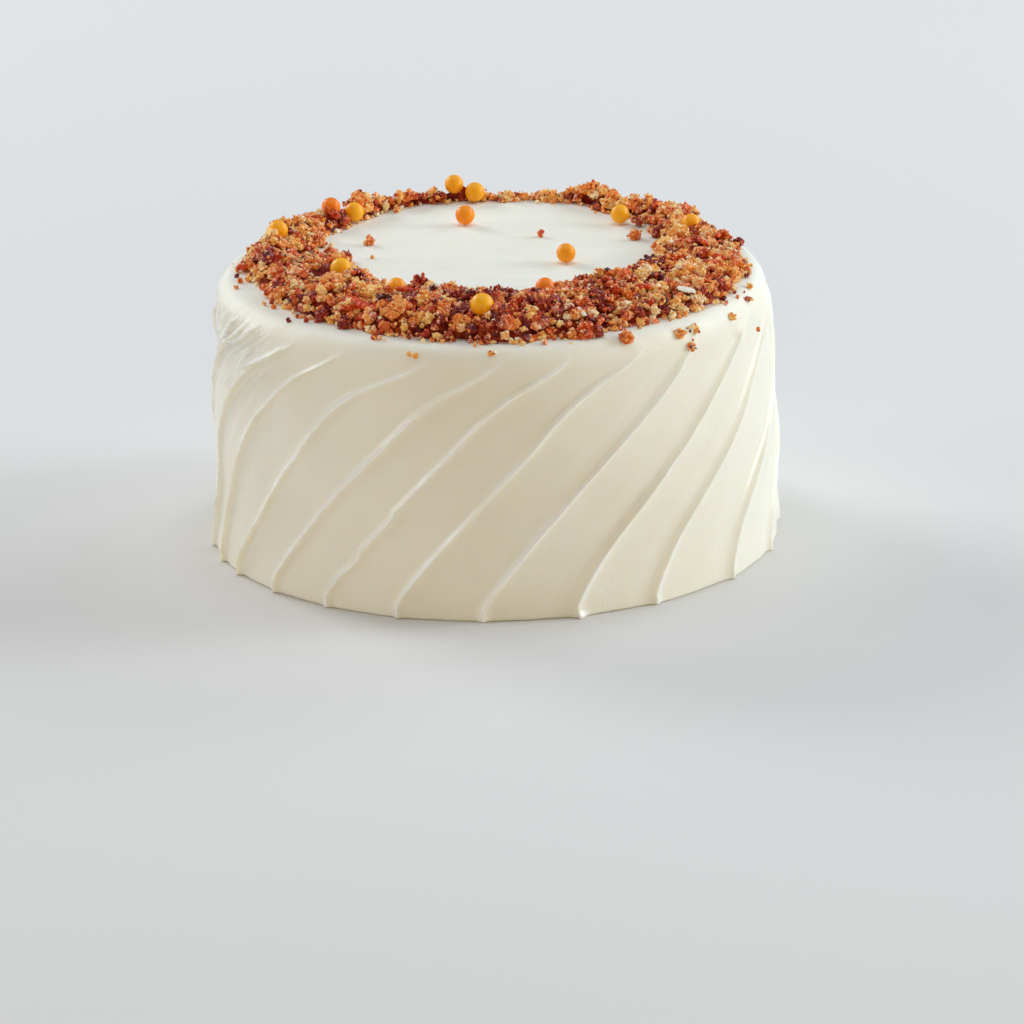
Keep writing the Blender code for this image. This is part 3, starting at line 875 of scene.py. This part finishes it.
def grains_on(rng, centres, size, kind, tint):
    """The grains on each lump: centres, sizes, kinds and tints."""
    count = np.clip((size**1.9 * 1.15).astype(int), 4, 54)
    owner = np.repeat(np.arange(len(centres)), count)
    way = rng.normal(size=(len(owner), 3))
    way[:, 2] = np.abs(way[:, 2]) * 0.95 - 0.3
    way /= np.linalg.norm(way, axis=1)[:, None]
    grain = np.clip(rng.lognormal(math.log(GRAIN_SIZE), GRAIN_SPREAD, len(owner)), GRAIN_SMALLEST, GRAIN_LARGEST)
    place = centres[owner] + way * (0.5 * size[owner] * rng.uniform(0.74, 1.04, len(owner)))[:, None]
    mix = np.cumsum(np.array(GRAIN_MIX)[kind[owner]], axis=1)
    own = (rng.random(len(owner))[:, None] > mix).sum(axis=1)
    shade = np.clip(0.45 * tint[owner] + 0.55 * rng.random(len(owner)) + rng.normal(0, 0.12, len(owner)), 0, 1)
    return place, grain, np.minimum(own, GOLD), shade


def above_icing(centres, sizes):
    """Lifts any crumb that would sink more than a fifth into the icing."""
    lifted = centres.copy()
    floor = icing_height(np.hypot(centres[:, 0], centres[:, 1])) + sizes * 0.3
    lifted[:, 2] = np.maximum(lifted[:, 2], floor)
    return lifted


def loose_grains(rng, count):
    """Single grains fallen beside the ring's two edges, in loose groups."""
    angle = rng.uniform(0, 360, count)
    angle += 2.0 * wavy(angle / 4.0, 0.3, 0, 63)
    outside = rng.random(count) < 0.55
    away = rng.exponential(1.1, count) - 1.2
    away = np.where(rng.random(count) < 0.035, away + rng.uniform(1.5, 6.0, count), away)
    radius = np.where(outside, outer_radius(angle) + away, inner_radius(angle) - away)
    radius = np.clip(radius, 5.0, TOP_RADIUS + 5.0)
    size = np.clip(rng.lognormal(math.log(1.25), 0.4, count), 0.5, 2.6)
    x, y = round_trip(angle, radius)
    kind = rng.choice(4, size=count, p=(0.12, 0.2, 0.36, 0.32))
    return np.stack([x, y, icing_height(radius) + size * 0.3], axis=1), size, kind, rng.uniform(0.1, 0.9, count)


# Crumbs that lie by themselves on the icing: x, y, size, kind, tint
LONE_CRUMBS = (
    (-47.5, 37.7, 4.2, AMBER, 0.25),
    (-46.5, 18.1, 2.0, GOLD, 0.8),
    (19.3, 44.5, 3.1, AMBER, 0.3),
    (56.5, 37.7, 5.4, AMBER, 0.3),
    (65.6, 39.9, 5.0, DARK, 0.8),
    (58.9, 56.8, 5.0, DARK, 0.9),
    (96.3, 24.9, 4.8, DARK, 0.6),
    (94.6, 21.5, 3.4, AMBER, 0.5),
    (-41.6, -18.0, 3.1, GOLD, 0.3),
    (-98.8, 3.8, 1.5, AMBER, 0.3),
    (-97.3, -11.3, 2.2, AMBER, 0.4),
    (-98.3, -19.1, 1.7, AMBER, 0.5),
    (91.3, -53.8, 3.0, GOLD, 0.4),
    (99.1, -27.5, 2.2, GOLD, 0.3),
    (34.6, -92.0, 6.6, RED, 0.75),
    (29.5, -92.6, 4.2, AMBER, 0.5),
    (39.5, -91.0, 4.6, DARK, 0.8),
    (50.4, -91.0, 4.6, AMBER, 0.2),
    (74.6, -76.2, 4.6, AMBER, 0.5),
    (70.9, -78.4, 3.6, AMBER, 0.75),
    (76.9, -72.6, 2.8, GOLD, 0.3),
    (-29.4, -101.1, 2.1, GOLD, 0.2),
    (-31.0, -100.4, 1.4, GOLD, 0.4),
    (-1.3, -104.4, 1.7, GOLD, 0.2),
    (0.2, -104.0, 1.2, GOLD, 0.4),
)
# Larger pieces among the crumbs: x, y, height above the icing, size, kind, tint
LARGE_PIECES = (
    (6.1, -89.7, 4.6, 7.0, RED, 0.98),
    (-21.3, 95.6, 3.0, 4.9, DARK, 0.75),
    (-56.2, -76.4, 3.0, 5.4, DARK, 0.75),
    (-65.0, -68.3, 3.4, 5.0, DARK, 0.8),
    (-62.7, 6.8, 5.2, 6.6, RED, 0.95),
    (-67.3, 3.0, 5.0, 6.2, RED, 0.8),
    (-56.5, 8.0, 4.0, 5.0, DARK, 0.9),
    (71.5, 41.2, 5.4, 5.8, AMBER, 0.3),
    (64.6, -43.4, 8.6, 4.6, DARK, 0.05),
    (-22.1, -55.0, 8.4, 4.0, DARK, 0.1),
    (-70.8, 75.6, 8.2, 5.0, AMBER, 0.5),
    (-72.4, 74.0, 5.5, 5.0, AMBER, 0.3),
    (-43.5, 91.2, 8.0, 4.6, AMBER, 0.6),
    (-46.5, 89.0, 5.5, 4.6, RED, 0.8),
    (92.0, 24.5, 2.2, 5.4, DARK, 0.6),
    (34.0, -76.0, 8.0, 7.4, RED, 0.9),
    (18.0, -74.0, 9.0, 7.0, AMBER, 0.5),
    (52.0, -63.0, 8.5, 7.0, AMBER, 0.6),
)
# Carrot shreds: x, y, height above the icing, length, thickness, heading in degrees, tilt in degrees
SHREDS = (
    (-51.4, -67.6, 7.6, 15.0, 4.2, -50.0, 5.0),
    (-44.0, -74.6, 6.4, 9.0, 3.8, -62.0, 8.0),
    (-33.1, -61.6, 11.0, 7.6, 2.6, -4.0, 6.0),
    (-96.8, 1.4, 2.6, 4.8, 2.8, 12.0, 0.0),
    (88.0, -18.4, 9.2, 5.8, 2.4, -38.0, 10.0),
    (24.0, -78.5, 10.8, 6.0, 2.2, 35.0, -6.0),
    (57.0, -60.0, 10.0, 7.5, 2.6, 5.0, 3.0),
    (66.0, 62.0, 7.6, 6.5, 2.4, 60.0, 0.0),
    (82.0, 1.0, 9.6, 6.0, 2.4, -60.0, 8.0),
    (88.5, 14.0, 8.2, 6.0, 2.2, 80.0, 5.0),
)
# Slivers of nut, dark skin and pale inside: the same facts, with a width
NUTS = (
    (73.8, -61.8, 8.8, 7.6, 4.0, 14.0, 12.0),
    (33.7, -86.8, 8.4, 6.4, 2.2, -62.0, 20.0),
    (-20.9, -54.2, 10.6, 3.8, 1.8, -40.0, 30.0),
    (4.0, -60.6, 8.6, 3.0, 1.5, 30.0, 10.0),
)

# The palest top stop of each of these four ramps is partly sugar and partly a painted highlight for glints on the
# crumbs
DARK_STOPS = ((0.0, (0.07, 0.001, 0.0004)), (0.35, (0.22, 0.006, 0.0015)), (0.68, (0.50, 0.046, 0.009)), (0.95, (0.96, 0.46, 0.30)))
RED_STOPS = ((0.0, (0.33, 0.011, 0.0025)), (0.35, (0.67, 0.075, 0.012)), (0.68, (0.94, 0.22, 0.045)), (0.93, (1.0, 0.58, 0.33)))
AMBER_STOPS = ((0.0, (0.66, 0.11, 0.013)), (0.35, (0.96, 0.31, 0.055)), (0.66, (1.0, 0.53, 0.16)), (0.92, (1.0, 0.80, 0.57)))
GOLD_STOPS = ((0.0, (0.92, 0.31, 0.045)), (0.35, (1.0, 0.55, 0.14)), (0.66, (1.0, 0.75, 0.33)), (0.92, (1.0, 0.90, 0.69)))
# The core's ramp runs dark: painted shade for the gaps between crumbs, up to crumb colour at its top stop
CORE_COLOUR_AND_SHADE_STOPS = ((0.0, (0.09, 0.0015, 0.0005)), (0.4, (0.28, 0.018, 0.004)), (0.8, (0.60, 0.11, 0.02)), (1.0, (0.80, 0.23, 0.055)))
SHRED_STOPS = ((0.0, (0.40, 0.02, 0.004)), (0.5, (0.76, 0.072, 0.009)), (1.0, (0.96, 0.19, 0.022)))
NUT_STOPS = ((0.0, (0.09, 0.02, 0.012)), (0.42, (0.16, 0.05, 0.03)), (0.5, (0.78, 0.66, 0.50)), (1.0, (0.92, 0.84, 0.70)))


# How far the centres of shreds and larger pieces may stand above the pile's outline
ACCENT_RISE, PIECE_SINK = 0.5, -1.4
# How far back a piece moves for each millimetre that it's lowered, to look the same from the front
VIEW_SLIDE = 3.0


def above(x, y, lift):
    return np.array([x, y, float(icing_height(math.hypot(x, y))) + lift])


def pile_at(x, y):
    """Height of the crumbs here; outside the ring, what a low edge gives."""
    angle, radius = math.degrees(math.atan2(x, -y)), math.hypot(x, y)
    inner, outer = float(inner_radius(angle)), float(outer_radius(angle))
    share = np.array([min(max((radius - inner) / (outer - inner), 0.0), 1.0)])
    return float(pile_height(np.array([angle]), share, np.array([radius]))[0])


def resting(x, y, lift, allowance):
    """The place of a piece in the ring, slid back as the front sees it, or else lowered, until crumbs hold it."""
    for drop in np.arange(0.0, lift, 0.2):
        back = y + VIEW_SLIDE * drop
        if math.hypot(x, back) < TOP_RADIUS + 2.0 and lift - drop <= pile_at(x, back) + allowance:
            return above(x, back, lift - drop)
    return above(x, y, min(lift, pile_at(x, y) + allowance))


def make_accents(rng):
    """Carrot shreds and slivers of nut, each lying its own way."""
    sets = {"carrot_shreds": [], "nut_slivers": []}
    for name, facts in (("carrot_shreds", SHREDS), ("nut_slivers", NUTS)):
        for number, (x, y, lift, length, thick, heading, tilt) in enumerate(facts):
            points, faces = strip(number * 3 + (40 if name == "nut_slivers" else 1))
            flat = 0.42 if name == "nut_slivers" else 0.8
            turn = Euler((rng.uniform(-0.5, 0.5), math.radians(tilt), math.radians(heading))).to_matrix()
            tint = 0.5 + 0.5 * wavy(points[:, 0] * 9, points[:, 1] * 3, points[:, 2] * 3, number)
            if name == "nut_slivers":
                tint = smoothstep(-0.12, 0.12, points[:, 2] + 0.1 * wavy(points[:, 0] * 4, number, 0, 5))
            placed = (points * (length, thick, thick * flat)) @ np.array(turn).T + resting(x, y, lift, ACCENT_RISE)
            sets[name].append((placed, faces, tint))
    shreds = crumb_material("carrot_finish", SHRED_STOPS, (0.25, 0.5), 0.35, 0.15)
    nuts = crumb_material("nut_finish", NUT_STOPS, (0.35, 0.55), 0.3, 0.1)
    for name, finish in (("carrot_shreds", shreds), ("nut_slivers", nuts)):
        points, faces, tint = join(sets[name])
        mesh_piece(name, points, faces, finish, "cake_crumb", tint=tint)


def make_crumbs(pearls):
    rng = np.random.default_rng(741)
    small = [pebble(1, seed, 2.8, 0.5, 0.26) for seed in range(20)]
    middling = [pebble(2, 40 + seed, 3.8, 0.52, 0.34) for seed in range(14)]
    large = [pebble(3, 80 + seed, 5.6, 0.44, 0.40) for seed in range(12)]
    centres, size, kind, tint = crumb_clusters(rng)
    lone = np.array(LONE_CRUMBS)
    pieces = np.array(LARGE_PIECES)
    extra = np.array([above(x, y, 0.36 * wide) for x, y, wide, _, _ in lone] + [resting(x, y, lift, PIECE_SINK + 0.4 * wide) for x, y, lift, wide, _, _ in pieces])
    extra_size = np.concatenate([lone[:, 2], pieces[:, 3]])
    extra_kind = np.concatenate([lone[:, 3], pieces[:, 4]]).astype(int)
    extra_tint = 0.7 * np.concatenate([lone[:, 4], pieces[:, 5]])
    keep = clear_of_pearls(centres, size, pearls, 0.7)
    for place, wide in zip(extra[len(lone):], extra_size[len(lone):]):
        keep &= np.linalg.norm(centres - place, axis=1) > wide * 0.45
    centres = np.concatenate([centres[keep], extra])
    size = np.concatenate([size[keep], extra_size])
    kind = np.concatenate([kind[keep], extra_kind])
    tint = np.concatenate([tint[keep], extra_tint])
    grain_place, grain_size, grain_kind, grain_tint = grains_on(rng, centres, size, kind, tint)
    on_large = len(grain_place)
    fallen = loose_grains(rng, LOOSE_GRAINS)
    grain_place = np.concatenate([above_icing(grain_place, grain_size), fallen[0]])
    grain_size, grain_kind, grain_tint = (
        np.concatenate(pair) for pair in ((grain_size, fallen[1]), (grain_kind, fallen[2]), (grain_tint, fallen[3]))
    )
    clear = clear_of_pearls(grain_place, grain_size, pearls)
    finishes = (
        crumb_material("dark_crumb_finish", DARK_STOPS, (0.09, 0.38), 0.5),
        crumb_material("red_crumb_finish", RED_STOPS, (0.13, 0.44), 0.4),
        crumb_material("amber_crumb_finish", AMBER_STOPS, (0.2, 0.5), 0.32),
        crumb_material("golden_crumb_finish", GOLD_STOPS, (0.3, 0.55), 0.25),
    )
    for number, name in enumerate(KIND_NAMES):
        sets = []
        big = size > 4.6
        for group, shapes in (((kind == number) & big, large), ((kind == number) & ~big, middling)):
            sets.append(scatter(rng, shapes, centres[group], size[group] * 0.84, tint[group] * 0.85, 0.36))
        mine = clear & (grain_kind == number)
        sets.append(scatter(rng, small, grain_place[mine], grain_size[mine], grain_tint[mine], 0.3))
        points, faces, values = join(sets)
        print(name, len(faces), "triangles", int(mine.sum()), "grains")
        thing = mesh_piece(name, points, faces, finishes[number], "cake_crumb", smooth=False, tint=values)
        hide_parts("crumb_ring")
    points, faces, values = crumb_core()
    core = mesh_piece("crumb_core", points, faces, crumb_material("crumb_core_colour_and_painted_shade", CORE_COLOUR_AND_SHADE_STOPS, (0.3, 0.6), 0.2), "cake_crumb", tint=values)
    print("core", len(faces))
    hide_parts("crumb_ring")
    make_accents(rng)


# ---------------------------------------------------------------- pearls

PEARL_TINTS = (0.55, 0.05, 0.6, 0.7, 0.45, 0.5, 0.55, 0.2, 0.6, 0.1, 0.35, 0.6, 0.55)


def make_pearls(pearls):
    finish = pearl_material()
    work = bmesh.new()
    bmesh.ops.create_icosphere(work, subdivisions=4, radius=0.5)
    ball = np.array([v.co[:] for v in work.verts])
    faces = np.array([[v.index for v in face.verts] for face in work.faces])
    work.free()
    for number, (centre, diameter) in enumerate(pearls, 1):
        x, y, z = (ball * 2.4).T
        push = 1 + 0.012 * wavy(x + number * 5.1, y, z, 70) + 0.004 * wavy(x * 3.1, y * 3.1, z * 3.1 + number, 71)
        points = ball * push[:, None] * diameter + centre
        tint = np.full(len(points), PEARL_TINTS[number - 1])
        thing = mesh_piece(f"sugar_pearl_{number:02d}", points, faces, finish, "sugar_pearl", tint=tint)
        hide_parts(f"pearl_{number:02d}")


# ---------------------------------------------------------------- stage

CAMERA_PLACE = (0.0, -2.84745, 0.94446)
CAMERA_AIM = (0.00615, 0.0, 0.00747)
CAMERA_ROLL = -1.051
CAMERA_LENS = 269.0
SENSOR = 36.0


def make_camera():
    data = bpy.data.cameras.new("camera")
    data.lens, data.sensor_width = CAMERA_LENS, SENSOR
    data.clip_start, data.clip_end = 0.05, 60.0
    camera = bpy.data.objects.new("camera", data)
    bpy.context.scene.collection.objects.link(camera)
    look = (Vector(CAMERA_AIM) - Vector(CAMERA_PLACE)).to_track_quat("-Z", "Y").to_matrix().to_4x4()
    camera.matrix_world = Matrix.Translation(CAMERA_PLACE) @ look @ Matrix.Rotation(math.radians(CAMERA_ROLL), 4, "Z")
    bpy.context.scene.camera = camera


WORLD_COLOUR = (0.93, 0.96, 1.0)
WORLD_STRENGTH = 0.235
# Name, place and aim in metres, size, power and colour of each soft light
LIGHTS = (
    ("low_right", (2.51, 0.09, 0.73), (0.0, 0.0, 0.06), (1.0, 1.0), 28.7, (0.89, 0.96, 1.0)),
    ("key", (2.25, 0.48, 1.28), (0.0, 0.0, 0.06), (1.0, 1.0), 14.7, (0.74, 0.88, 1.0)),
    ("right_back", (1.62, 1.62, 1.28), (0.0, 0.0, 0.06), (1.0, 1.0), 14.4, (0.77, 0.88, 1.0)),
    ("left_back", (-1.62, 1.62, 1.28), (0.0, 0.0, 0.06), (1.0, 1.0), 30.1, (0.9, 0.95, 1.0)),
    ("low_left", (-2.51, 0.0, 0.73), (0.0, 0.0, 0.06), (1.0, 1.0), 13.0, (0.93, 0.96, 1.0)),
    ("front_fill", (0.0, -2.36, 0.48), (0.0, 0.0, 0.06), (2.0, 0.5), 11.1, (1.0, 0.73, 0.33)),
    ("top", (0.0, 0.0, 2.66), (0.0, 0.0, 0.06), (1.4, 1.4), 20.0, (0.74, 0.84, 1.0)),
)


def make_light(name, place, aim, size, power, colour):
    data = bpy.data.lights.new(name, "AREA")
    data.shape = "RECTANGLE"
    data.size, data.size_y = size
    data.energy = power
    data.color = colour
    lamp = bpy.data.objects.new(name, data)
    bpy.context.scene.collection.objects.link(lamp)
    lamp.location = place
    lamp.rotation_euler = (Vector(aim) - Vector(place)).to_track_quat("-Z", "Y").to_euler()


def make_stage():
    mesh = bpy.data.meshes.new("floor")
    half = 9.0
    mesh.from_pydata([(-half, -half, 0), (half, -half, 0), (half, half, 0), (-half, half, 0)], [], [(0, 1, 2, 3)])
    mesh.materials.append(floor_material())
    floor = bpy.data.objects.new("floor", mesh)
    bpy.context.scene.collection.objects.link(floor)
    world = bpy.data.worlds.new("studio")
    world.use_nodes = True
    background = world.node_tree.nodes["Background"]
    background.inputs["Color"].default_value = (*WORLD_COLOUR, 1.0)
    background.inputs["Strength"].default_value = WORLD_STRENGTH
    bpy.context.scene.world = world
    for light in LIGHTS:
        make_light(*light)
    bpy.context.scene.view_settings.view_transform = "Standard"
    bpy.context.scene.view_settings.look = "None"


def main():
    make_camera()
    make_stage()
    points, faces, crest_gloss_and_painted_highlight, swirl = icing_mesh()
    print("icing", len(points), "points", len(faces), "triangles")
    matt = smoothstep(SHOULDER_FOOT - 6.0, SHOULDER_FOOT + 6.0, points[:, 2])
    torn = torn_region(np.degrees(np.arctan2(points[:, 0], -points[:, 1])), points[:, 2])
    # Painted highlight: the torn icing at the left shoulder is whitened a little, like the crests
    crest_gloss_and_painted_highlight = np.maximum(crest_gloss_and_painted_highlight, 0.3 * torn)
    facts = dict(matt=matt, crest_gloss_and_painted_highlight=crest_gloss_and_painted_highlight, torn=torn, swirl=swirl)
    icing = mesh_piece("icing", points, faces, icing_material(), "cream_icing", **facts)
    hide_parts("frosted_cake")
    pearls = pearl_facts()
    make_pearls(pearls)
    make_crumbs(pearls)


main()
